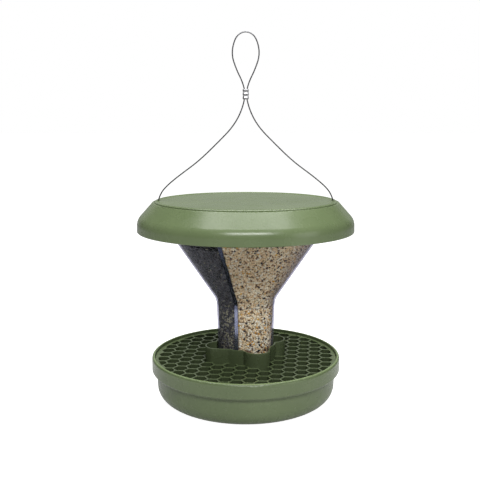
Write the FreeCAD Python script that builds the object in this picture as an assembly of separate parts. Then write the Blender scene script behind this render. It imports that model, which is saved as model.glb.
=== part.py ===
import FreeCAD, Part

import math
import os

from FreeCAD import Vector

# A hanging bird feeder: dish roof, clear two-compartment funnel, round perch tray and wire hanger.
# Millimetres, +Z up, origin at the centre of the tray's flat base, front of the feeder toward -Y.
# Each of the large mouldings is split into simple regions that touch: roof top, skirt and ring;
# hopper cone and neck; tray floor, bowl, rim and socket; grid and collar.

# ---- driving dimensions -------------------------------------------------------------------------
TRAY_RADIUS = 110.0         # outside of the rim band
TRAY_RIM_Z = 51.0           # top of the rim
TRAY_WALL = 2.4
RIM_ROUND = 2.8             # radius of the rim's outer top edge
BASE_RADIUS = 86.0          # flat that the feeder stands on
BAND_BOTTOM_Z = 34.0        # underside of the rim band
BOWL_RADIUS = 104.5         # outside of the bowl under the band
BOWL_CORNER = BOWL_RADIUS - 0.8 - BASE_RADIUS   # radius of the curved foot of the bowl
LEDGE_Z = 40.5              # shelf that carries the perch grid

GRID_TOP_Z = 47.5
GRID_OUTER_RADIUS = 106.2
GRID_RING = 3.6             # width of the grid's outer ring
CELL_SIDE = 9.0             # side of one honeycomb cell, centre line to centre line
CELL_WALL = 1.6
SMALLEST_CELL = 8.0         # cut cells with less area than this are left closed
GRID_TURN = -6.0            # degrees that the honeycomb is turned about the axis

COLLAR_TOP_Z = 63.5         # the scalloped collar stands in the middle of the grid
COLLAR_WALL = 1.6
COLLAR_FOOT_Z = 3.2
COLLAR_RADIUS = 35.4        # stretch of the collar that runs close along the neck
COLLAR_STRETCH = 30.0       # degrees that this stretch covers, before each seed cup
CUP_REACH = [(49.3, 52.0), (47.5, 68.0)]    # crown and far corner of a cup: radius, degrees past the start
COLLAR_ANGLE = -124.0
CUPS = 4

NECK_RADIUS = 32.3          # outside of the neck at the collar's top
NECK_TOP_Z = 111.0
NECK_TOP_RADIUS = 34.1
NECK_FOOT_Z = 3.2
NECK_FOOT_RADIUS = 31.2
CONE_START_Z = 119.6
CONE_START_RADIUS = 36.8
CONE_TOP_Z = 211.0
CONE_SLOPE = 0.675          # radius gained for each millimetre of height
HOPPER_WALL = 1.6
HOPPER_RIM_RADIUS = 100.2
HOPPER_RIM_HEIGHT = 3.0
PORT_BOTTOM_Z = 14.0        # arched seed ports in the neck, one facing each cup
PORT_TOP_Z = 58.0
PORT_WIDTH = 20.0

DIVIDER_ANGLE = -110.0
DIVIDER_PLATE = 1.6
DIVIDER_EDGE_WIDTH = 3.8
DIVIDER_EDGE_DEPTH = 1.4
DIVIDER_GAP = 0.1

SOCKET_WALL = 1.4
SOCKET_TOP_Z = 12.5
SOCKET_GAP = 0.45
BAYONET_PIN = 3.0           # diameter of the two locking pins on the neck
BAYONET_Z = 7.5
BAYONET_ANGLE = 30.0        # how far the tray turns to unlock
BAYONET_FIRST = -20.0       # direction of the first pin
DRAIN_HOLE = 4.0
DRAIN_RADIUS = 76.0
DRAIN_HOLES = 8

ROOF_TOP_Z = 232.3
ROOF_TOP_RADIUS = 105.0
ROOF_RADIUS = 125.3
ROOF_LIP_Z = 197.0
ROOF_STEP = 2.0             # drop from the rounded edge of the top to the ledge round it
ROOF_LEDGE_RADIUS = 108.0   # where the skirt starts to slope down
ROOF_SHOULDER_Z = 214.6     # where the skirt starts to bend into the lip
ROOF_SHOULDER_RADIUS = 121.6
ROOF_BEND = 9.45            # height of the bend
ROOF_WALL = 2.2
ROOF_RIBS = 6
ROOF_TOP_DISH = 0.8         # how far the flat top lies below its rounded edge
ROOF_RING_RADIUS = 101.2    # inside of the ring that centres the roof on the hopper
ROOF_RING_WALL = 1.8
ROOF_RING_BOTTOM_Z = 208.0

WIRE = 1.5
WIRE_RADIUS_FROM_AXIS = 101.0
LUG_WIDTH = 13.0
LUG_REACH = 105.5
LUG_Z = 211.0
LUG_THICKNESS = 3.0
WIRE_HOLE = 2.3
SLOT_INNER = 98.6
SLOT_OUTER = 107.6
SLOT_WIDTH = 4.2

FERRULE_BOTTOM_Z = 347.5
FERRULE_TOP_Z = 359.3
FERRULE_LOBE = 3.8          # diameter of each of the ferrule's two barrels
FERRULE_PITCH = 3.2         # distance between the two wires inside it
END_STOP_HEIGHT = 6.0
END_STOP_RADIUS = 2.0

# Route of one leg of the hanger from the roof slot up to the ferrule, as (distance from axis, height).
LEG_ROUTE = [
    (101.0, 232.3), (99.6, 239.4), (91.5, 250.0), (77.0, 266.0), (54.5, 284.0),
    (33.0, 304.5), (14.0, 322.0), (3.6, 338.0), (1.6, 347.5),
]
# Right half of the loop from the ferrule up to its top, as (x, height).
LOOP_ROUTE = [(1.6, 359.3), (3.4, 367.0), (10.5, 381.0), (16.4, 398.5), (12.4, 416.5), (4.6, 423.5)]


# ---- helpers ------------------------------------------------------------------------------------
def at(radius, angle, z=0.0):
    """Point at a distance and a direction in degrees from the feeder's axis."""
    turn = math.radians(angle)
    return Vector(radius * math.cos(turn), radius * math.sin(turn), z)


def revolved(outline):
    """Solid of revolution; a step is (radius, z), or (radius, z, through_radius, through_z) for an arc."""
    points = [Vector(step[0], 0, step[1]) for step in outline]
    edges = []
    for index, step in enumerate(outline):
        start, end = points[index - 1], points[index]
        if len(step) == 4:
            edges.append(Part.Arc(start, Vector(step[2], 0, step[3]), end).toShape())
        else:
            edges.append(Part.LineSegment(start, end).toShape())
    face = Part.Face(Part.Wire(edges))
    return face.revolve(Vector(0, 0, 0), Vector(0, 0, 1), 360)


def cylinder(radius, height, base, direction=Vector(0, 0, 1)):
    return Part.makeCylinder(radius, height, base, direction)


def radial_box(inner, outer, width, z_low, z_high, angle):
    """Box that reaches from one radius to another in the given direction."""
    box = Part.makeBox(outer - inner, width, z_high - z_low, Vector(inner, -width / 2, z_low))
    box.rotate(Vector(0, 0, 0), Vector(0, 0, 1), angle)
    return box


def slab(shape, z_low, z_high):
    """The part of a shape between two heights."""
    return shape.common(Part.makeBox(400, 400, z_high - z_low, Vector(-200, -200, z_low)))


def fused(first, *others):
    return first.fuse(list(others)).removeSplitter()


def save(name, shape):
    shape.exportStep(os.path.join("parts", name + ".step"))
    box = shape.BoundBox
    print("%-20s valid %s solids %d volume %.1f z %.2f..%.2f" % (
        name, shape.isValid(), len(shape.Solids), shape.Volume, box.ZMin, box.ZMax))


# ---- roof ---------------------------------------------------------------------------------------
def roof_underside_z():
    return ROOF_TOP_Z - ROOF_TOP_DISH - ROOF_WALL


def roof_slots():
    z_low, z_high = ROOF_TOP_Z - 12.0, ROOF_TOP_Z + 2.0
    return [radial_box(SLOT_INNER, SLOT_OUTER, SLOT_WIDTH, z_low, z_high, angle) for angle in (0, 180)]


def roof_top():
    """Flat disc with a low rounded edge."""
    underside = roof_underside_z()
    disc_z = ROOF_TOP_Z - ROOF_TOP_DISH
    disc = revolved([
        (0.0, underside),
        (0.0, disc_z),
        (ROOF_TOP_RADIUS - 4.0, disc_z),
        (ROOF_TOP_RADIUS - 2.6, ROOF_TOP_Z),
        (ROOF_TOP_RADIUS, ROOF_TOP_Z - 0.9, ROOF_TOP_RADIUS - 1.22, ROOF_TOP_Z - 0.24),
        (ROOF_TOP_RADIUS, underside),
    ])
    return disc.cut(roof_slots())


def roof_skirt():
    """Ledge and sloping ring that bends over the shoulder into the upright lip."""
    underside = roof_underside_z()
    ledge_z = ROOF_TOP_Z - ROOF_STEP
    bend_z = ROOF_SHOULDER_Z - ROOF_BEND
    slope = Vector(ROOF_SHOULDER_RADIUS - ROOF_LEDGE_RADIUS, 0, ROOF_SHOULDER_Z - ledge_z).normalize()
    inner_shoulder_radius = ROOF_SHOULDER_RADIUS + ROOF_WALL * slope.z
    inner_shoulder_z = ROOF_SHOULDER_Z - ROOF_WALL * slope.x
    flange_z = underside - 1.2
    inner_ledge_radius = inner_shoulder_radius + (flange_z - inner_shoulder_z) * slope.x / slope.z
    skirt = revolved([
        (ROOF_TOP_RADIUS - 1.4, flange_z),
        (ROOF_TOP_RADIUS - 1.4, underside),
        (ROOF_TOP_RADIUS, underside),
        (ROOF_TOP_RADIUS, ledge_z),
        (ROOF_LEDGE_RADIUS - 1.0, ledge_z),
        (ROOF_LEDGE_RADIUS, ledge_z - 0.45, ROOF_LEDGE_RADIUS - 0.4, ledge_z - 0.1),
        (ROOF_SHOULDER_RADIUS, ROOF_SHOULDER_Z),
        (ROOF_RADIUS - 0.1, bend_z, ROOF_RADIUS - 1.05, bend_z + 5.05),
        (ROOF_RADIUS, ROOF_LIP_Z + 0.6),
        (ROOF_RADIUS - 0.6, ROOF_LIP_Z),
        (ROOF_RADIUS - ROOF_WALL + 0.4, ROOF_LIP_Z),
        (ROOF_RADIUS - ROOF_WALL, ROOF_LIP_Z + 0.6),
        (ROOF_RADIUS - 0.1 - ROOF_WALL, bend_z),
        (inner_shoulder_radius, inner_shoulder_z, ROOF_RADIUS - 0.95 - ROOF_WALL, bend_z + 4.3),
        (inner_ledge_radius, flange_z),
    ])
    return skirt.cut(roof_slots())


def roof_ring_halves():
    """Front and back half of the centring ring with its ribs; the lugs pass between the halves."""
    ceiling = roof_underside_z()
    height = ceiling - ROOF_RING_BOTTOM_Z
    base = Vector(0, 0, ROOF_RING_BOTTOM_Z)
    outside = cylinder(ROOF_RING_RADIUS + ROOF_RING_WALL, height, base)
    ring = outside.cut(cylinder(ROOF_RING_RADIUS, height, base))
    gaps = [radial_box(90, 112, LUG_WIDTH + 5, 200, 240, angle) for angle in (0, 180)]
    rest_z = CONE_TOP_Z + HOPPER_RIM_HEIGHT + 0.3
    ribs = []
    for number in range(ROOF_RIBS):
        angle = 30 + number * 360 / ROOF_RIBS
        ribs.append(radial_box(80, ROOF_RING_RADIUS + 0.8, 2.0, rest_z, ceiling, angle))
    return sorted(fused(ring.cut(gaps), *ribs).Solids, key=lambda half: half.CenterOfMass.y)


# ---- hopper -------------------------------------------------------------------------------------
def hopper_outline(inset):
    """Outer line of the funnel from foot to rim, moved in by inset."""
    bend = (CONE_START_RADIUS + NECK_TOP_RADIUS) / 2 - 0.35 - inset
    top_radius = CONE_START_RADIUS + CONE_SLOPE * (CONE_TOP_Z - CONE_START_Z)
    cone_inset = inset * math.sqrt(1 + CONE_SLOPE ** 2)
    return [
        (NECK_FOOT_RADIUS - inset, NECK_FOOT_Z),
        (NECK_RADIUS - inset, COLLAR_TOP_Z),
        (NECK_TOP_RADIUS - inset, NECK_TOP_Z),
        (CONE_START_RADIUS - cone_inset, CONE_START_Z, bend - 0.15 * inset, (NECK_TOP_Z + CONE_START_Z) / 2),
        (top_radius - cone_inset, CONE_TOP_Z),
    ]


def hopper_core(inset):
    """Solid plug with the funnel's line moved in by inset."""
    top = CONE_TOP_Z + HOPPER_RIM_HEIGHT
    line = hopper_outline(inset)
    return revolved([(0, top), (0, NECK_FOOT_Z)] + line + [(line[-1][0], top)])


def hopper_lug(angle):
    lug = radial_box(HOPPER_RIM_RADIUS - 3, LUG_REACH, LUG_WIDTH, LUG_Z, LUG_Z + LUG_THICKNESS, angle)
    return lug.cut(cylinder(WIRE_HOLE / 2, 20, at(WIRE_RADIUS_FROM_AXIS, angle, LUG_Z - 5)))


def seed_port(angle):
    """Arched opening through the neck wall."""
    spring_z = PORT_TOP_Z - PORT_WIDTH / 2
    lower = radial_box(20, 40, PORT_WIDTH, PORT_BOTTOM_Z, spring_z, angle)
    arch = cylinder(PORT_WIDTH / 2, 20, at(20, angle, spring_z), at(1, angle))
    return fused(lower, arch)


def cup_angle(number):
    return COLLAR_ANGLE + CUP_REACH[0][1] + number * 360 / CUPS


def whole_hopper():
    top = CONE_TOP_Z + HOPPER_RIM_HEIGHT
    rim_base = Vector(0, 0, CONE_TOP_Z)
    rim = cylinder(HOPPER_RIM_RADIUS, HOPPER_RIM_HEIGHT, rim_base)
    lugs = [hopper_lug(angle) for angle in (0, 180)]
    pins = []
    for half in (0, 180):
        angle = BAYONET_FIRST + half
        start = at(NECK_FOOT_RADIUS - HOPPER_WALL, angle, BAYONET_Z)
        pins.append(cylinder(BAYONET_PIN / 2, HOPPER_WALL + 1.8, start, at(1, angle)))
    body = fused(hopper_core(0), rim, *(lugs + pins))
    bore = hopper_core(HOPPER_WALL).fuse(cylinder(NECK_FOOT_RADIUS - HOPPER_WALL, 4, Vector(0, 0, NECK_FOOT_Z - 2)))
    ports = [seed_port(cup_angle(number)) for number in range(CUPS)]
    mouth = cylinder(hopper_outline(HOPPER_WALL)[-1][0], 4, Vector(0, 0, top - 1))
    return body.cut([bore, mouth] + ports)


def hopper_divider():
    """Plate across the funnel with a wide edge where it meets the wall."""
    inset = HOPPER_WALL + DIVIDER_GAP
    core = hopper_core(inset)
    inner = hopper_core(inset + DIVIDER_EDGE_DEPTH)
    plate = Part.makeBox(240, DIVIDER_PLATE, 300, Vector(-120, -DIVIDER_PLATE / 2, 0))
    edge = Part.makeBox(240, DIVIDER_EDGE_WIDTH, 300, Vector(-120, -DIVIDER_EDGE_WIDTH / 2, 0))
    for piece in (plate, edge):
        piece.rotate(Vector(0, 0, 0), Vector(0, 0, 1), DIVIDER_ANGLE)
    cap = CONE_TOP_Z + 0.5
    trim = Part.makeBox(300, 300, 60, Vector(-150, -150, cap))
    return fused(core.common(plate), core.common(edge).cut(inner)).cut(trim)


# ---- tray, grid and collar ----------------------------------------------------------------------
def bowl_outline():
    """Section of the tray: outside from the base up, over the rim and down the inside."""
    wall = TRAY_WALL
    corner_radius = BASE_RADIUS + BOWL_CORNER * math.sqrt(0.5)
    corner_z = BOWL_CORNER * (1 - math.sqrt(0.5))
    rim_corner = RIM_ROUND * (1 - math.sqrt(0.5))
    return [
        (0, wall),
        (0, 0),
        (BASE_RADIUS, 0),
        (BOWL_RADIUS - 0.8, BOWL_CORNER, corner_radius, corner_z),
        (BOWL_RADIUS, BAND_BOTTOM_Z),
        (TRAY_RADIUS - 1.0, BAND_BOTTOM_Z),
        (TRAY_RADIUS, BAND_BOTTOM_Z + 1.5),
        (TRAY_RADIUS, TRAY_RIM_Z - RIM_ROUND),
        (TRAY_RADIUS - RIM_ROUND, TRAY_RIM_Z, TRAY_RADIUS - rim_corner, TRAY_RIM_Z - rim_corner),
        (TRAY_RADIUS - 3.4, TRAY_RIM_Z - 0.6),
        (TRAY_RADIUS - 3.4, LEDGE_Z - 0.3),
        (BOWL_RADIUS - wall, LEDGE_Z - 0.3),
        (BOWL_RADIUS - wall, BOWL_CORNER + 2),
        (BASE_RADIUS - 1, wall, corner_radius - 2.1, corner_z + 2.1),
    ]


def bayonet_slot(angle):
    """Slot in the socket: the pin's rest place, its run while the tray turns, and the way out."""
    reach = NECK_FOOT_RADIUS + 8
    half = math.degrees((BAYONET_PIN / 2 + 0.5) / NECK_FOOT_RADIUS)
    low = BAYONET_Z - BAYONET_PIN / 2 - 0.4
    high = BAYONET_Z + BAYONET_PIN / 2 + 0.4
    start = angle - BAYONET_ANGLE
    ring = Part.makeCylinder(reach, high - low, Vector(0, 0, low), Vector(0, 0, 1), BAYONET_ANGLE + 2 * half)
    ring.rotate(Vector(0, 0, 0), Vector(0, 0, 1), start - half)
    way_out = radial_box(20, reach, BAYONET_PIN + 1, low, SOCKET_TOP_Z + 1, start)
    return [ring, way_out]


def neck_socket():
    inner = NECK_FOOT_RADIUS + 0.2 + SOCKET_GAP
    base = Vector(0, 0, TRAY_WALL)
    height = SOCKET_TOP_Z - base.z
    ring = cylinder(inner + SOCKET_WALL, height, base).cut(cylinder(inner, height, base))
    slots = bayonet_slot(BAYONET_FIRST) + bayonet_slot(BAYONET_FIRST + 180)
    return ring.cut(slots)


def tray_floor(bowl):
    """Flat base of the bowl with its drain holes."""
    drains = []
    for number in range(DRAIN_HOLES):
        place = at(DRAIN_RADIUS, 22.5 + number * 360 / DRAIN_HOLES, -1)
        drains.append(cylinder(DRAIN_HOLE / 2, 6, place))
    return slab(bowl, 0, TRAY_WALL).cut(drains)


def hexagon(x, y, across):
    """Six-sided hole with corners toward +X and -X; across is its width over the flats."""
    corners = [Vector(x, y, 0) + at(across / math.sqrt(3), 60 * number) for number in range(7)]
    return Part.Face(Part.makePolygon(corners))


def honeycomb_holes():
    """Hexagons that cover the whole grid."""
    column = 1.5 * CELL_SIDE
    row = math.sqrt(3) * CELL_SIDE
    count = int(GRID_OUTER_RADIUS / column) + 1
    holes = []
    for i in range(-count, count + 1):
        for j in range(-count - 1, count + 1):
            x, y = i * column, (j + 0.5 * (i % 2)) * row
            if COLLAR_RADIUS - CELL_SIDE < math.hypot(x, y) < GRID_OUTER_RADIUS:
                holes.append(hexagon(x, y, row - CELL_WALL))
    cells = Part.makeCompound(holes)
    cells.rotate(Vector(0, 0, 0), Vector(0, 0, 1), GRID_TURN)
    return cells


def collar_wire(z):
    """Plan outline of the collar: a stretch close to the neck, a round cup and a flat wall, four times."""
    (crown_radius, crown_turn), (corner_radius, corner_turn) = CUP_REACH
    edges = []
    for number in range(CUPS):
        turn = COLLAR_ANGLE + number * 360 / CUPS
        first = at(COLLAR_RADIUS, turn, z)
        middle = at(COLLAR_RADIUS, turn + COLLAR_STRETCH / 2, z)
        start = at(COLLAR_RADIUS, turn + COLLAR_STRETCH, z)
        crown = at(crown_radius, turn + crown_turn, z)
        corner = at(corner_radius, turn + corner_turn, z)
        following = at(COLLAR_RADIUS, turn + 360 / CUPS, z)
        edges.append(Part.Arc(first, middle, start).toShape())
        edges.append(Part.Arc(start, crown, corner).toShape())
        edges.append(Part.LineSegment(corner, following).toShape())
    return Part.Wire(edges)


def disc(radius):
    return Part.Face(Part.Wire(Part.makeCircle(radius)))


def perch_grid():
    """Honeycomb plate with a plain outer ring, round the collar."""
    collar = Part.Face(collar_wire(0))
    openings = disc(GRID_OUTER_RADIUS - GRID_RING).cut(collar).common(honeycomb_holes())
    cells = [face for face in openings.Faces if face.Area > SMALLEST_CELL]
    web = disc(GRID_OUTER_RADIUS).cut(collar).cut(Part.makeCompound(cells))
    grid = web.Faces[0].extrude(Vector(0, 0, GRID_TOP_Z - LEDGE_Z))
    grid.translate(Vector(0, 0, LEDGE_Z))
    return grid


def seed_collar():
    """Scalloped wall round the neck that makes the four seed cups."""
    outside = collar_wire(COLLAR_FOOT_Z)
    inside = outside.makeOffset2D(-COLLAR_WALL)
    section = Part.Face(outside).cut(Part.Face(inside))
    return section.Faces[0].extrude(Vector(0, 0, COLLAR_TOP_Z - COLLAR_FOOT_Z))


# ---- wire hanger --------------------------------------------------------------------------------
def rounded_route(points):
    """Straight runs joined by tangent arcs, each as large as the two runs beside it allow."""
    edges = []
    place = points[0]
    smallest = None
    for before, corner, after in zip(points, points[1:], points[2:]):
        back = (before - corner).normalize()
        ahead = (after - corner).normalize()
        turn = math.pi - back.getAngle(ahead)
        reach = 0.45 * min((corner - before).Length, (after - corner).Length)
        radius = reach / math.tan(turn / 2)
        smallest = radius if smallest is None else min(radius, smallest)
        start, end = corner + back * reach, corner + ahead * reach
        inward = (back + ahead).normalize()
        middle = corner + inward * (math.hypot(radius, reach) - radius)
        edges.append(Part.LineSegment(place, start).toShape())
        edges.append(Part.Arc(start, middle, end).toShape())
        place = end
    edges.append(Part.LineSegment(place, points[-1]).toShape())
    print("route: smallest radius %.1f, length %.1f" % (smallest, sum(edge.Length for edge in edges)))
    return Part.Wire(edges)


def wire_tube(points):
    path = rounded_route(points)
    start = points[0]
    section = Part.Wire(Part.makeCircle(WIRE / 2, start, points[1] - start))
    tube = path.makePipeShell([section], True, False)
    print("  volume over section times length %.4f" % (
        tube.Volume / (math.pi * WIRE ** 2 / 4 * path.Length)))
    return tube


def hanger_leg(side):
    return wire_tube([Vector(side * radius, 0, z) for radius, z in LEG_ROUTE])


def hanger_loop():
    right = [Vector(x, 0, z) for x, z in LOOP_ROUTE]
    left = [Vector(-x, 0, z) for x, z in reversed(LOOP_ROUTE)]
    return wire_tube(right + left)


def hanger_tail(side):
    """Straight end of the wire from the end stop through the lug up to the roof slot."""
    return cylinder(WIRE / 2, ROOF_TOP_Z - LUG_Z, Vector(side * WIRE_RADIUS_FROM_AXIS, 0, LUG_Z))


def loop_ferrule():
    """Two-barrel sleeve, pinched twice by the crimping tool, round both ends of the loop."""
    height = FERRULE_TOP_Z - FERRULE_BOTTOM_Z
    barrels = []
    for side in (-1, 1):
        foot = Vector(side * FERRULE_PITCH / 2, 0, FERRULE_BOTTOM_Z)
        barrels.append(cylinder(FERRULE_LOBE / 2, height, foot))
    waist = Part.makeBox(FERRULE_PITCH, 2.6, height, Vector(-FERRULE_PITCH / 2, -1.3, FERRULE_BOTTOM_Z))
    sleeve = fused(barrels[0], barrels[1], waist)
    pinches = []
    for share in (0.34, 0.66):
        z = FERRULE_BOTTOM_Z + share * height
        for side in (-1, 1):
            pinches.append(cylinder(1.5, 12, Vector(-6, side * 2.75, z), Vector(1, 0, 0)))
    return sleeve.cut(pinches)


def end_stop(side):
    """Crimped stop under the lug that closes round the end of the wire."""
    place = Vector(side * WIRE_RADIUS_FROM_AXIS, 0, LUG_Z - END_STOP_HEIGHT)
    stop = cylinder(END_STOP_RADIUS, END_STOP_HEIGHT, place)
    return stop.makeFillet(0.5, [edge for edge in stop.Edges if edge.Closed])


# ---- all pieces ---------------------------------------------------------------------------------
def main():
    os.makedirs("parts", exist_ok=True)
    save("roof_top", roof_top())
    save("roof_skirt", roof_skirt())
    for name, half in zip(("front", "back"), roof_ring_halves()):
        save("roof_ring_" + name, half)
    hopper = whole_hopper()
    save("hopper_cone", slab(hopper, NECK_TOP_Z, ROOF_TOP_Z))
    save("hopper_neck", slab(hopper, 0, NECK_TOP_Z))
    save("hopper_divider", hopper_divider())
    bowl = revolved(bowl_outline())
    save("tray_floor", tray_floor(bowl))
    save("tray_bowl", slab(bowl, TRAY_WALL, BAND_BOTTOM_Z))
    save("tray_rim", slab(bowl, BAND_BOTTOM_Z, TRAY_RIM_Z))
    save("neck_socket", neck_socket())
    save("perch_grid", perch_grid())
    save("seed_collar", seed_collar())
    save("loop_ferrule", loop_ferrule())
    save("hanger_loop", hanger_loop())
    for name, side in (("left", -1), ("right", 1)):
        save("hanger_leg_" + name, hanger_leg(side))
        save("hanger_tail_" + name, hanger_tail(side))
        save("end_stop_" + name, end_stop(side))


main()
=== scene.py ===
"""Looks of a hanging bird feeder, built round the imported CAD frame. Metres, +Z up, front toward -Y."""

import math
import random

import bpy
import numpy as np
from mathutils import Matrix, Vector


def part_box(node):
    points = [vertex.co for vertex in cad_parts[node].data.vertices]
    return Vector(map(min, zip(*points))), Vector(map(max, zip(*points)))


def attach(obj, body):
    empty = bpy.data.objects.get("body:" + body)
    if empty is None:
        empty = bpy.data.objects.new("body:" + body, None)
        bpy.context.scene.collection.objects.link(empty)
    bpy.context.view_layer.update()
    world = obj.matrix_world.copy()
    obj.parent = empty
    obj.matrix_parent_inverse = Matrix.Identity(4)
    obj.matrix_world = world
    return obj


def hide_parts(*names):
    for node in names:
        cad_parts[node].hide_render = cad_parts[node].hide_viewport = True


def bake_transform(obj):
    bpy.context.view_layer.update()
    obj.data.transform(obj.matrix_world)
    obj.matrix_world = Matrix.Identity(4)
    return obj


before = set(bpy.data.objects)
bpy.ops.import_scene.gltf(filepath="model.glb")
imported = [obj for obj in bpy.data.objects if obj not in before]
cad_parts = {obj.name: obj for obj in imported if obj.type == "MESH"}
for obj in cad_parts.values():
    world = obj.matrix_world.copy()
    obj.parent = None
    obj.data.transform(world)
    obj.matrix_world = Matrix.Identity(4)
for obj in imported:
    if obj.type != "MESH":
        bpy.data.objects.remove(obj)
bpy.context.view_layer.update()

# ---- sizes in metres, angles in degrees and shades ------------------------------------------------
WIRE = 0.0015
WIRE_RADIUS_FROM_AXIS = 0.101
ROOF_TOP = 0.2323
# The leg's middle hangs up to 7 mm lower here than the design's tube, to follow the photo.
LEG_ROUTE = [
    (0.1010, 0.2323), (0.0990, 0.2388), (0.0925, 0.2475), (0.0775, 0.2600), (0.0545, 0.2768),
    (0.0330, 0.2975), (0.0140, 0.3170), (0.0036, 0.3370), (0.0016, 0.3475),
]
LOOP_ROUTE = [
    (0.0016, 0.3593), (0.0034, 0.3670), (0.0105, 0.3810), (0.0164, 0.3985),
    (0.0124, 0.4165), (0.0046, 0.4235),
]
ROUTE_STEP = 0.0006         # distance between the cuts along a wire

# Inside of the hopper's wall from foot to rim, as (height, radius).
HOPPER_INSIDE = [
    (0.0032, 0.0296), (0.0665, 0.0307), (0.1110, 0.0325), (0.1150, 0.0331),
    (0.1196, 0.0349), (0.2110, 0.0966),
]
GREEN_NODES = [
    "roof_top", "roof_skirt", "roof_ring_front", "roof_ring_back",
    "tray_floor", "tray_bowl", "neck_socket",
]
# Nodes whose green is scaled below their top edge and at it, to stand for shade and a lit edge.
EDGED_NODES = [("perch_grid", 0.42, 1.25), ("seed_collar", 0.58, 1.15), ("tray_rim", 0.92, 2.4)]
EDGE_HEIGHT = 0.0009        # height over which the scale goes from one to the other
GREEN_SHADES = [
    (0.30, (0.104, 0.140, 0.064)), (0.50, (0.117, 0.155, 0.073)), (0.72, (0.132, 0.172, 0.085)),
]
DIVIDER_ANGLE = -110.0
# Divider colours up its height: painted shade at the foot and along the cone under the roof, and a
# painted pale reflection down the neck.
DIVIDER_SHADE_AND_REFLECTION = [
    (0.10, (0.030, 0.032, 0.050)), (0.22, (0.22, 0.23, 0.33)),
    (0.82, (0.30, 0.31, 0.43)), (0.92, (0.050, 0.058, 0.105)),
]
FILL_LEVEL = {"mixed": 0.1905, "dark": 0.1840}
NECK_TOP = 0.108            # below it the mix has other shares of each kind of seed
ROOM_LIGHT = 0.05           # strength of the surroundings, apart from how bright they look
FLOOR_GLOW = 0.10           # light that the floor gives off
MILLET_SHADES = [
    (0.0, (0.80, 0.55, 0.29)), (0.45, (0.93, 0.71, 0.43)),
    (0.8, (0.97, 0.82, 0.57)), (1.0, (0.98, 0.90, 0.71)),
]
GREY_SHADES = [
    (0.0, (0.026, 0.027, 0.036)), (0.6, (0.062, 0.060, 0.072)), (1.0, (0.120, 0.110, 0.112)),
]
CORE_INSET = 0.0022         # from the hopper's wall to the packed seed behind the outer grains
DIVIDER_GAP = 0.0014        # from the divider's middle to the packed seed
CORE_FOOT = 0.006
CORE_LEVELS = 60
WALL_FOOT = 0.045           # the outer grains start here, hidden by the collar further down
WALL_SPACING = 0.0021
WALL_DEPTH = 0.0012         # from the hopper's wall to the middle of a grain
WALL_GRAIN_GAP = 0.0019     # from the divider's middle to the outer grains, and to the top ones
TOP_GRAIN_GAP = 0.0022
LEAST_REACH = 0.0023        # the top grains' gap is worked out as if none were nearer the axis
TOP_SPACING = 0.0026
TOP_MARGIN = 0.0015         # from the hopper's wall to the top grains
TOP_LIFT = 0.0006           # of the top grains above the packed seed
HEAP_HALF_DEEP = 0.0056     # half of a cup's heap, measured away from the axis
HEAP_HALF_WIDE = 0.0086
CUP_CENTRE = 0.040          # distance of a seed cup's middle from the axis
CUP_ANGLES = {"mixed": (-72.0, 18.0), "dark": (108.0, 198.0)}


# ---- materials ------------------------------------------------------------------------------------
def new_material(name):
    material = bpy.data.materials.new(name)
    material.use_nodes = True
    tree = material.node_tree
    return material, tree, tree.nodes["Principled BSDF"]


def node(tree, kind, **inputs):
    """New shader node; inputs are socket names with spaces written as underscores."""
    made = tree.nodes.new(kind)
    for name, value in inputs.items():
        made.inputs[name.replace("_", " ")].default_value = value
    return made


def math_node(tree, operation, *values):
    """Result of a Math node whose values are numbers or sockets."""
    made = tree.nodes.new("ShaderNodeMath")
    made.operation = operation
    for socket, value in zip(made.inputs, values):
        if isinstance(value, bpy.types.NodeSocket):
            tree.links.new(value, socket)
        else:
            socket.default_value = value
    return made.outputs["Value"]


def object_coordinates(tree):
    return tree.nodes.new("ShaderNodeTexCoord").outputs["Object"]


def noise_field(tree, scale, detail=4.0, roughness=0.55):
    texture = node(tree, "ShaderNodeTexNoise", Scale=scale, Detail=detail, Roughness=roughness)
    tree.links.new(object_coordinates(tree), texture.inputs["Vector"])
    return texture.outputs["Fac"]


def ramp(tree, source, stops):
    made = tree.nodes.new("ShaderNodeValToRGB")
    elements = made.color_ramp.elements
    while len(elements) < len(stops):
        elements.new(0.5)
    for element, (position, colour) in zip(elements, stops):
        element.position = position
        element.color = (*colour, 1.0)
    tree.links.new(source, made.inputs["Fac"])
    return made.outputs["Color"]


def bump(tree, shader, heights, distance, strength=1.0, under=None):
    made = node(tree, "ShaderNodeBump", Strength=strength, Distance=distance)
    tree.links.new(heights, made.inputs["Height"])
    if under is not None:
        tree.links.new(under, made.inputs["Normal"])
    tree.links.new(made.outputs["Normal"], shader.inputs["Normal"])
    return made.outputs["Normal"]


def roughness_range(tree, shader, source, low, high):
    span = node(tree, "ShaderNodeMapRange", From_Min=0.3, From_Max=0.7, To_Min=low, To_Max=high)
    tree.links.new(source, span.inputs["Value"])
    tree.links.new(span.outputs["Result"], shader.inputs["Roughness"])


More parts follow.
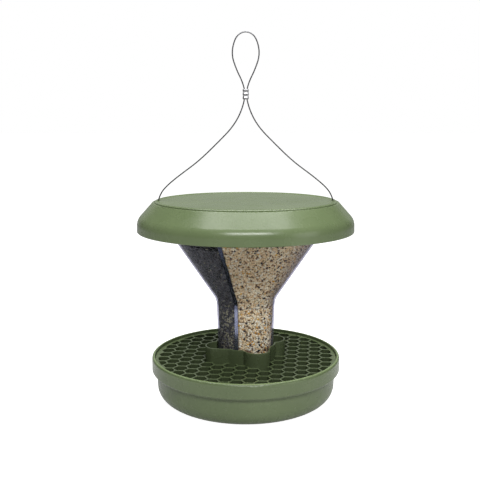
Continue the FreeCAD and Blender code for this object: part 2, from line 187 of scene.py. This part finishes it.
def green_plastic(name, shaded=1.0, lit=1.0, edge=None):
    """Satin moulded plastic; the colour is scaled by shaded below the height edge and by lit at it."""
    material, tree, shader = new_material(name)
    colour = ramp(tree, noise_field(tree, 14.0, 3.0), GREEN_SHADES)
    if edge is not None:
        place = tree.nodes.new("ShaderNodeSeparateXYZ")
        tree.links.new(object_coordinates(tree), place.inputs["Vector"])
        factor = node(tree, "ShaderNodeMapRange", From_Min=edge - EDGE_HEIGHT, From_Max=edge,
                      To_Min=shaded, To_Max=lit)
        tree.links.new(place.outputs["Z"], factor.inputs["Value"])
        scaled = node(tree, "ShaderNodeVectorMath")
        scaled.operation = "SCALE"
        tree.links.new(colour, scaled.inputs["Vector"])
        tree.links.new(factor.outputs["Result"], scaled.inputs["Scale"])
        colour = scaled.outputs["Vector"]
    tree.links.new(colour, shader.inputs["Base Color"])
    roughness_range(tree, shader, noise_field(tree, 60.0), 0.22, 0.31)
    shader.inputs["Specular IOR Level"].default_value = 0.45
    bump(tree, shader, noise_field(tree, 2600.0, 2.0), 0.00004, 0.25)
    return material


def clear_plastic():
    """Clear wall: lets light in untinted, and looks grey and glossy where it is seen edge on."""
    material, tree, shader = new_material("clear_plastic")
    shader.inputs["Base Color"].default_value = (0.80, 0.82, 0.90, 1.0)
    shader.inputs["Roughness"].default_value = 0.06
    shader.inputs["Specular IOR Level"].default_value = 0.6
    through = tree.nodes.new("ShaderNodeBsdfTransparent")
    shadow_ray = tree.nodes.new("ShaderNodeLightPath").outputs["Is Shadow Ray"]
    looked_at = math_node(tree, "SUBTRACT", 1.0, shadow_ray)
    facing = node(tree, "ShaderNodeLayerWeight", Blend=0.5).outputs["Facing"]
    edge_on = math_node(tree, "MULTIPLY", facing, looked_at)
    tint = ramp(tree, edge_on, [(0.45, (0.95, 0.96, 0.97)), (0.90, (0.38, 0.37, 0.46))])
    tree.links.new(tint, through.inputs["Color"])
    steep = math_node(tree, "POWER", edge_on, 5.0)
    backfacing = tree.nodes.new("ShaderNodeNewGeometry").outputs["Backfacing"]
    outer = math_node(tree, "SUBTRACT", 1.0, backfacing)
    share = node(tree, "ShaderNodeMapRange", To_Min=0.012, To_Max=0.50)
    mix = tree.nodes.new("ShaderNodeMixShader")
    tree.links.new(math_node(tree, "MULTIPLY", steep, outer), share.inputs["Value"])
    tree.links.new(share.outputs["Result"], mix.inputs["Fac"])
    tree.links.new(through.outputs["BSDF"], mix.inputs[1])
    tree.links.new(shader.outputs["BSDF"], mix.inputs[2])
    tree.links.new(mix.outputs["Shader"], tree.nodes["Material Output"].inputs["Surface"])
    return material


def dark_plastic():
    """Divider: blue-black at its foot and along the cone, where shade from the roof and from dark parts
    behind is painted in, and pale down the neck as a painted reflection of the white surroundings.
    """
    material, tree, shader = new_material("dark_plastic")
    place = tree.nodes.new("ShaderNodeSeparateXYZ")
    tree.links.new(object_coordinates(tree), place.inputs["Vector"])
    # Colour by height: painted shade along the cone and at the foot, and a painted pale reflection down
    # the neck.
    height = node(tree, "ShaderNodeMapRange", From_Min=0.055, From_Max=0.125)
    tree.links.new(place.outputs["Z"], height.inputs["Value"])
    shade = math_node(tree, "MULTIPLY", noise_field(tree, 260.0), 0.12)
    colour = ramp(tree, math_node(tree, "ADD", height.outputs["Result"], shade), DIVIDER_SHADE_AND_REFLECTION)
    tree.links.new(colour, shader.inputs["Base Color"])
    shader.inputs["Metallic"].default_value = 0.9
    roughness_range(tree, shader, noise_field(tree, 200.0), 0.10, 0.18)
    return material


def steel_wire():
    material, tree, shader = new_material("steel_wire")
    shades = [(0.3, (0.085, 0.085, 0.090)), (0.7, (0.17, 0.17, 0.18))]
    colour = ramp(tree, noise_field(tree, 900.0), shades)
    tree.links.new(colour, shader.inputs["Base Color"])
    shader.inputs["Metallic"].default_value = 1.0
    roughness_range(tree, shader, noise_field(tree, 1500.0), 0.30, 0.45)
    return material


def crimped_metal():
    material, tree, shader = new_material("crimped_metal")
    shades = [(0.3, (0.30, 0.30, 0.31)), (0.7, (0.46, 0.46, 0.47))]
    colour = ramp(tree, noise_field(tree, 700.0), shades)
    tree.links.new(colour, shader.inputs["Base Color"])
    shader.inputs["Metallic"].default_value = 1.0
    grain = noise_field(tree, 1800.0)
    roughness_range(tree, shader, grain, 0.28, 0.42)
    bump(tree, shader, grain, 0.00005, 0.5)
    return material


def two_shades(dark, light):
    return [(0.0, dark), (1.0, light)]


def grain_material(name, stops, roughness):
    """Seed whose colour differs from one grain to the next, with a little mottling on each."""
    material, tree, shader = new_material(name)
    grain = tree.nodes.new("ShaderNodeNewGeometry").outputs["Random Per Island"]
    base = ramp(tree, grain, stops)
    patches = [(0.3, (0.82, 0.80, 0.76)), (0.65, (1.0, 1.0, 1.0))]
    mottle = ramp(tree, noise_field(tree, 1400.0, 2.0), patches)
    mix = node(tree, "ShaderNodeVectorMath")
    mix.operation = "MULTIPLY"
    tree.links.new(base, mix.inputs[0])
    tree.links.new(mottle, mix.inputs[1])
    tree.links.new(mix.outputs["Vector"], shader.inputs["Base Color"])
    shader.inputs["Roughness"].default_value = roughness
    return material


def core_material(name, dark, light):
    """Packed seed behind the grains that touch the wall."""
    material, tree, shader = new_material(name)
    cells = node(tree, "ShaderNodeTexVoronoi", Scale=480.0)
    tree.links.new(object_coordinates(tree), cells.inputs["Vector"])
    separate = tree.nodes.new("ShaderNodeSeparateColor")
    tree.links.new(cells.outputs["Color"], separate.inputs["Color"])
    colour = ramp(tree, separate.outputs["Red"], two_shades(dark, light))
    tree.links.new(colour, shader.inputs["Base Color"])
    shader.inputs["Roughness"].default_value = 0.8
    bump(tree, shader, cells.outputs["Distance"], 0.001, -0.8)
    return material


def floor_material():
    """Pale seamless floor that looks white up to the horizon but throws little light back up."""
    material, tree, shader = new_material("studio_floor")
    shades = [(0.3, (0.54, 0.54, 0.54)), (0.7, (0.56, 0.56, 0.56))]
    colour = ramp(tree, noise_field(tree, 3.0), shades)
    tree.links.new(colour, shader.inputs["Base Color"])
    shader.inputs["Roughness"].default_value = 0.9
    shader.inputs["Specular IOR Level"].default_value = 0.0
    shader.inputs["Emission Color"].default_value = (1.0, 1.0, 1.0, 1.0)
    seen = tree.nodes.new("ShaderNodeLightPath").outputs["Is Camera Ray"]
    glow = node(tree, "ShaderNodeMapRange", To_Min=FLOOR_GLOW, To_Max=1.0)
    tree.links.new(seen, glow.inputs["Value"])
    tree.links.new(glow.outputs["Result"], shader.inputs["Emission Strength"])
    return material


# ---- camera, light, floor -------------------------------------------------------------------------
def make_camera():
    data = bpy.data.cameras.new("camera")
    data.sensor_width = 36.0
    data.lens = 54.35
    data.shift_x = -0.0119
    data.shift_y = -0.0854
    camera = bpy.data.objects.new("camera", data)
    camera.location = (0.0, -0.836, 0.317)
    camera.rotation_euler = (math.pi / 2 - 0.10, 0.0, 0.0)
    bpy.context.scene.collection.objects.link(camera)
    bpy.context.scene.camera = camera


def area_light(name, place, target, size, power):
    data = bpy.data.lights.new(name, "AREA")
    data.shape = "RECTANGLE"
    data.size, data.size_y = size
    data.energy = power
    light = bpy.data.objects.new(name, data)
    light.location = place
    light.rotation_euler = (Vector(target) - Vector(place)).to_track_quat("-Z", "Y").to_euler()
    bpy.context.scene.collection.objects.link(light)


def make_room():
    """White surroundings that light the feeder more softly than they look."""
    world = bpy.data.worlds.new("studio")
    world.use_nodes = True
    tree = world.node_tree
    background = tree.nodes["Background"]
    background.inputs["Color"].default_value = (1.0, 1.0, 1.0, 1.0)
    seen = tree.nodes.new("ShaderNodeLightPath").outputs["Is Camera Ray"]
    strength = node(tree, "ShaderNodeMapRange", To_Min=ROOM_LIGHT, To_Max=1.0)
    tree.links.new(seen, strength.inputs["Value"])
    tree.links.new(strength.outputs["Result"], background.inputs["Strength"])
    bpy.context.scene.world = world


def make_studio():
    make_room()
    bpy.context.scene.view_settings.view_transform = "Standard"
    area_light("overhead", (0.0, 0.08, 1.45), (0.0, 0.0, 0.2), (1.5, 1.2), 31.0)
    area_light("front_softbox", (0.10, -1.25, 1.12), (0.0, 0.0, 0.2), (1.15, 0.32), 19.0)
    area_light("right_fill", (1.3, -0.7, 0.45), (0.0, 0.0, 0.1), (0.7, 0.7), 2.5)
    area_light("backdrop", (0.0, 1.7, 0.45), (0.0, 0.0, 0.25), (2.6, 0.8), 2.0)
    bpy.ops.mesh.primitive_grid_add(x_subdivisions=8, y_subdivisions=8, size=60.0,
                                    location=(0, 0, -0.0006))
    floor = bpy.context.object
    floor.name = "studio_floor"
    floor.data.materials.append(floor_material())


# ---- mesh helpers ---------------------------------------------------------------------------------
def mesh_piece(name, vertices, faces, material, body, sharp=40.0):
    mesh = bpy.data.meshes.new(name)
    mesh.from_pydata([tuple(v) for v in vertices], [], [tuple(f) for f in faces])
    mesh.validate()
    mesh.shade_smooth()
    mesh.set_sharp_from_angle(angle=math.radians(sharp))
    piece = bpy.data.objects.new(name, mesh)
    bpy.context.scene.collection.objects.link(piece)
    mesh.materials.append(material)
    if body:
        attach(piece, body)
    return piece


def grid_faces(rows, columns, closed_columns=True):
    """Quads between rows of points that follow each other in one list."""
    faces = []
    steps = columns if closed_columns else columns - 1
    for row in range(rows - 1):
        for column in range(steps):
            following = (column + 1) % columns
            a, b = row * columns + column, row * columns + following
            faces.append((a, b, b + columns, a + columns))
    return faces


# ---- wire hanger ----------------------------------------------------------------------------------
def route_line(points):
    """Points of the smooth NURBS line that has the route's points as its control points."""
    curve = bpy.data.curves.new("route", "CURVE")
    curve.dimensions = "3D"
    spline = curve.splines.new("NURBS")
    spline.points.add(len(points) - 1)
    for control, point in zip(spline.points, points):
        control.co = (*point, 1.0)
    spline.order_u = 3
    spline.use_endpoint_u = True
    spline.resolution_u = 24
    holder = bpy.data.objects.new("route", curve)
    bpy.context.scene.collection.objects.link(holder)
    mesh = bpy.data.meshes.new_from_object(holder)
    line = [vertex.co.copy() for vertex in mesh.vertices]
    bpy.data.objects.remove(holder)
    bpy.data.curves.remove(curve)
    bpy.data.meshes.remove(mesh)
    return line


def line_length(line):
    return sum((b - a).length for a, b in zip(line, line[1:]))


def even_line(line, step):
    """The same line with points about one step apart."""
    count = max(2, round(line_length(line) / step))
    spans = [(b - a).length for a, b in zip(line, line[1:])]
    target = sum(spans) / count
    even, covered, index, start = [line[0]], 0.0, 0, line[0]
    for number in range(1, count):
        wanted = number * target
        while covered + spans[index] < wanted:
            covered += spans[index]
            index += 1
        share = (wanted - covered) / spans[index]
        even.append(line[index].lerp(line[index + 1], share))
    even.append(line[-1])
    return even


def strand_radius(angle, strands, radius):
    """Outline of a bundle of strands: round ridges with grooves between them."""
    phase = (angle * strands / (2 * math.pi)) % 1.0
    ridge = math.sin(math.pi * phase)
    return radius * (0.80 + 0.20 * math.sqrt(ridge))


def wire_rope(name, line, material, body):
    """Rope of six outer strands along a line in the XZ plane, laid in a helix."""
    strands, around, lay = 6, 30, 0.0105
    vertices, travelled = [], 0.0
    for index, point in enumerate(line):
        before, after = line[max(0, index - 1)], line[min(len(line) - 1, index + 1)]
        along = (after - before).normalized()
        side = Vector((0.0, 1.0, 0.0))
        across = along.cross(side)
        if index:
            travelled += (point - line[index - 1]).length
        twist = 2 * math.pi * travelled / lay
        for number in range(around):
            angle = 2 * math.pi * number / around
            reach = strand_radius(angle - twist, strands, WIRE / 2)
            sideways = side * (reach * math.cos(angle))
            vertices.append(point + sideways + across * (reach * math.sin(angle)))
    faces = grid_faces(len(line), around)
    last = (len(line) - 1) * around
    faces.append(tuple(reversed(range(around))))
    faces.append(tuple(range(last, last + around)))
    return mesh_piece(name, vertices, faces, material, body, sharp=80.0)


def make_hanger(material):
    loop_right = [(x, 0.0, z) for x, z in LOOP_ROUTE]
    loop_left = [(-x, 0.0, z) for x, z in reversed(LOOP_ROUTE)]
    line = even_line(route_line(loop_right + loop_left), ROUTE_STEP)
    loop = wire_rope("wire_loop", line, material, "hopper")
    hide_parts("hanger_loop")
    for name, side in (("left", -1), ("right", 1)):
        line = even_line(route_line([(side * x, 0.0, z) for x, z in LEG_ROUTE]), ROUTE_STEP)
        leg = wire_rope("wire_leg_" + name, line, material, None)
        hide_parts("hanger_leg_" + name)
        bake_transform(leg)
        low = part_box("hanger_tail_" + name)[0].z
        foot = Vector((side * WIRE_RADIUS_FROM_AXIS, 0.0, low))
        top = Vector((side * WIRE_RADIUS_FROM_AXIS, 0.0, ROOF_TOP))
        tail = wire_rope("wire_tail_" + name, even_line([foot, top], ROUTE_STEP), material, None)
        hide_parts("hanger_tail_" + name)
        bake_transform(tail)


def make_ferrule(material):
    """Pressed sleeve with two barrels and two crimps, and rolled ends."""
    rolled_end, crimp_half_length = 0.0008, 0.085
    low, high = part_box("loop_ferrule")
    height = high.z - low.z
    half_wide, half_deep = (high.x - low.x) / 2, (high.y - low.y) / 2
    rows, around = 44, 40
    vertices = []
    for row in range(rows):
        share = row / (rows - 1)
        end = min(share, 1 - share) * height
        rounding = 0.82 + 0.18 * min(1.0, math.sqrt(end / rolled_end))
        crimp = sum(math.exp(-((share - place) / crimp_half_length) ** 2) for place in (0.32, 0.68))
        for number in range(around):
            angle = 2 * math.pi * number / around
            waist = 1.0 - 0.22 * math.sin(angle) ** 6
            x = half_wide * rounding * math.cos(angle) * (1.0 - 0.10 * crimp)
            y = half_deep * rounding * math.sin(angle) * waist * (1.0 - 0.30 * crimp)
            vertices.append((x, y, low.z + share * height))
    faces = grid_faces(rows, around)
    faces.append(tuple(reversed(range(around))))
    faces.append(tuple(range((rows - 1) * around, rows * around)))
    ferrule = mesh_piece("crimped_ferrule", vertices, faces, material, "hopper",
                         sharp=50.0)
    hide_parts("loop_ferrule")


# ---- seed -----------------------------------------------------------------------------------------
def hopper_inside(z):
    heights = [height for height, radius in HOPPER_INSIDE]
    radii = [radius for height, radius in HOPPER_INSIDE]
    return float(np.interp(z, heights, radii))


def grain_shape():
    """Vertices and faces of a small pointed kernel, one unit long on each axis."""
    around, rings = 6, ((-0.30, 0.40), (0.12, 0.50))
    vertices = [(0.0, 0.0, -0.5)]
    for z, radius in rings:
        for number in range(around):
            angle = 2 * math.pi * number / around
            vertices.append((radius * math.cos(angle), radius * math.sin(angle), z))
    vertices.append((0.0, 0.0, 0.5))
    faces = []
    for number in range(around):
        following = (number + 1) % around
        low, high = 1 + number, 1 + following
        faces.append((0, high, low))
        faces.append((low, high, high + around, low + around))
        faces.append((low + around, high + around, 2 * around + 1))
    return np.array(vertices), faces


def grains(name, places, sizes, material, body, draw):
    """One mesh of kernels; a place is (point, outward normal), sizes (length, width, thickness)."""
    shape, shape_faces = grain_shape()
    vertices, faces = [], []
    for point, normal in places:
        size = draw.uniform(0.8, 1.2)
        length, width, thick = (value * size for value in sizes)
        lean = Vector((draw.gauss(0, 1), draw.gauss(0, 1), draw.gauss(0, 1)))
        along = (lean - normal * lean.dot(normal) * 0.75).normalized()
        across = along.cross(normal).normalized()
        up = across.cross(along)
        turn = np.array([across, up, along])
        base = len(vertices) * len(shape)
        vertices.append((shape * (width, thick, length)) @ turn + np.array(point))
        faces.extend(tuple(base + corner for corner in face) for face in shape_faces)
    return mesh_piece(name, np.concatenate(vertices), faces, material, body, sharp=180.0)


def wall_places(start, stop, z_low, z_high, spacing, depth, draw):
    """Places just inside the hopper's wall between two directions in degrees."""
    places = []
    z = z_low
    while z < z_high:
        slope = (hopper_inside(z + 0.0005) - hopper_inside(z - 0.0005)) / 0.001
        radius = hopper_inside(z) - depth
        margin = math.degrees((WALL_GRAIN_GAP + spacing * 0.45) / radius)
        span = stop - start - 2 * margin
        count = int(math.radians(span) * radius / spacing)
        offset = draw.random()
        for number in range(count):
            share = (number + offset + draw.uniform(-0.35, 0.35)) / count
            angle = math.radians(start + margin + min(1.0, max(0.0, share)) * span)
            height = z + draw.uniform(-0.4, 0.4) * spacing
            reach = hopper_inside(height) - depth - draw.uniform(0.0, 0.0004)
            normal = Vector((math.cos(angle), math.sin(angle), -slope)).normalized()
            places.append(((reach * math.cos(angle), reach * math.sin(angle), height), normal))
        z += spacing * 0.86 / math.sqrt(1 + slope * slope)
    return places


def surface_places(start, stop, level, radius, spacing, draw):
    """Places over the top of the heap in one compartment."""
    places = []
    count = int(radius / spacing)
    for i in range(-count, count + 1):
        for j in range(-count, count + 1):
            x = (i + 0.5 * (j % 2) + draw.uniform(-0.3, 0.3)) * spacing
            y = (j + draw.uniform(-0.3, 0.3)) * spacing * 0.87
            reach = math.hypot(x, y)
            turn = (math.degrees(math.atan2(y, x)) - start) % 360
            edge = math.degrees(math.asin(min(1.0, TOP_GRAIN_GAP / max(reach, LEAST_REACH))))
            if reach < radius and edge < turn < stop - start - edge:
                places.append(((x, y, level + 0.0005 * draw.random()), Vector((0, 0, 1))))
    return places


def packed_core(name, start, stop, top, material):
    """Solid half of the hopper's contents behind the outer grains."""
    levels = [
        CORE_FOOT + (top - CORE_FOOT) * number / CORE_LEVELS for number in range(CORE_LEVELS + 1)
    ]
    around = 40
    vertices = []
    middle = math.radians((start + stop) / 2)
    shift = Vector((math.cos(middle), math.sin(middle), 0.0)) * DIVIDER_GAP
    for z in levels:
        radius = hopper_inside(z) - CORE_INSET
        for number in range(around):
            angle = math.radians(start + (stop - start) * number / (around - 1))
            flat = DIVIDER_GAP / radius * abs(math.cos(angle - middle))
            place = Vector((radius * math.cos(angle), radius * math.sin(angle), z)) * (1 - flat) + shift
            vertices.append((place.x, place.y, z))
    faces = grid_faces(len(levels), around)
    faces.append(tuple(reversed(range(around))))
    faces.append(tuple(range((len(levels) - 1) * around, len(levels) * around)))
    return mesh_piece(name, vertices, faces, material, "hopper", sharp=60.0)


def cup_heap(name, angle, recipe, core, draw):
    """Small heap of seed that has run out of a port into its cup."""
    along = Vector((math.cos(angle), math.sin(angle), 0.0))
    across = Vector((-math.sin(angle), math.cos(angle), 0.0))
    rings, around, foot, crest = 8, 28, 0.0028, 0.019
    vertices, places = [], []
    for ring in range(rings + 1):
        share = ring / rings
        z = foot + (crest - foot) * math.cos(share * math.pi / 2)
        for number in range(around):
            turn = 2 * math.pi * number / around
            reach = CUP_CENTRE + HEAP_HALF_DEEP * share * math.cos(turn)
            point = along * reach + across * (HEAP_HALF_WIDE * share * math.sin(turn))
            vertices.append((point.x, point.y, z))
            # The heap's tip, its foot and one ring in between get no grains.
            if ring not in (0, 3, rings) and number % 2 == ring % 2:
                places.append((Vector(vertices[-1]), Vector((0.0, 0.0, 1.0))))
    faces = grid_faces(rings + 1, around)
    faces.append(tuple(range(rings * around, (rings + 1) * around)))
    mesh_piece(name + "_core", vertices, faces, core, "tray")
    scatter(name, places, recipe, "tray", draw)


def scatter(kind, places, recipe, body, draw):
    """Grains at the given places, each kind in its share of the recipe, which differs in the neck."""
    names = list(recipe)
    weights = {part: [recipe[name][part] for name in names] for part in ("neck", "cone")}
    chosen = {name: [] for name in names}
    for point, normal in places:
        part = "neck" if point[2] + draw.uniform(-0.012, 0.012) < NECK_TOP else "cone"
        chosen[draw.choices(names, weights[part])[0]].append((point, normal))
    for name in names:
        if chosen[name]:
            material = recipe[name]["material"]
            grains(f"{kind}_{name}", chosen[name], recipe[name]["size"], material, body, draw)


def fill_compartment(kind, start, stop, recipe, core, seed):
    """One half of the hopper full of seed: a packed core, grains at the wall and grains on top."""
    draw = random.Random(seed)
    top = FILL_LEVEL[kind]
    packed_core(kind + "_seed_core", start, stop, top, core)
    places = wall_places(start, stop, WALL_FOOT, top, WALL_SPACING, WALL_DEPTH, draw)
    radius = hopper_inside(top) - TOP_MARGIN
    places += surface_places(start, stop, top + TOP_LIFT, radius, TOP_SPACING, draw)
    scatter(kind + "_seed", places, recipe, "hopper", draw)
    for number, angle in enumerate(CUP_ANGLES[kind]):
        cup_heap(f"{kind}_heap_{number + 1}", math.radians(angle), recipe, core, draw)


def make_seed():
    millet = grain_material("millet", MILLET_SHADES, 0.5)
    brown = grain_material("brown_seed", two_shades((0.13, 0.065, 0.03), (0.34, 0.20, 0.09)), 0.5)
    black = grain_material("black_seed", two_shades((0.012, 0.010, 0.012), (0.045, 0.036, 0.034)), 0.4)
    orange = grain_material("orange_seed", two_shades((0.62, 0.27, 0.03), (0.80, 0.46, 0.08)), 0.45)
    pale = grain_material("pale_kernel", two_shades((0.82, 0.72, 0.54), (0.94, 0.88, 0.74)), 0.5)
    grey = grain_material("grey_seed", GREY_SHADES, 0.5)
    striped = grain_material("striped_seed", two_shades((0.16, 0.15, 0.10), (0.34, 0.31, 0.22)), 0.5)
    small, medium = (0.0026, 0.0021, 0.0018), (0.0036, 0.0024, 0.0018)
    mixed = {
        "millet": {"cone": 76, "neck": 50, "size": small, "material": millet},
        "brown": {"cone": 16, "neck": 14, "size": small, "material": brown},
        "kernels": {"cone": 6, "neck": 28, "size": medium, "material": pale},
        "black": {"cone": 3, "neck": 5, "size": medium, "material": black},
        "orange": {"cone": 1, "neck": 4, "size": medium, "material": orange},
    }
    dark = {
        "grey": {"cone": 62, "neck": 34, "size": medium, "material": grey},
        "black": {"cone": 35, "neck": 28, "size": medium, "material": black},
        "striped": {"cone": 3, "neck": 38, "size": medium, "material": striped},
    }
    mixed_core = core_material("mixed_core", (0.36, 0.25, 0.13), (0.76, 0.60, 0.38))
    dark_core = core_material("dark_core", (0.022, 0.022, 0.026), (0.08, 0.076, 0.078))
    fill_compartment("mixed", DIVIDER_ANGLE, DIVIDER_ANGLE + 180, mixed, mixed_core, 11)
    fill_compartment("dark", DIVIDER_ANGLE + 180, DIVIDER_ANGLE + 360, dark, dark_core, 23)


# ---- CAD nodes that keep their shape --------------------------------------------------------------
def dress(name, material):
    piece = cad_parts[name]
    piece.data.materials.clear()
    piece.data.materials.append(material)
    piece.data.shade_smooth()
    piece.data.set_sharp_from_angle(angle=math.radians(32.0))


def main():
    make_camera()
    wire, metal = steel_wire(), crimped_metal()
    make_hanger(wire)
    make_ferrule(metal)
    make_studio()
    green = green_plastic("green_plastic")
    for name in GREEN_NODES:
        dress(name, green)
    for name, shaded, lit in EDGED_NODES:
        dress(name, green_plastic("green_" + name, shaded, lit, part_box(name)[1].z))
    clear = clear_plastic()
    for name in ("hopper_cone", "hopper_neck"):
        dress(name, clear)
    dress("hopper_divider", dark_plastic())
    for name in ("end_stop_left", "end_stop_right"):
        dress(name, metal)
    make_seed()


main()
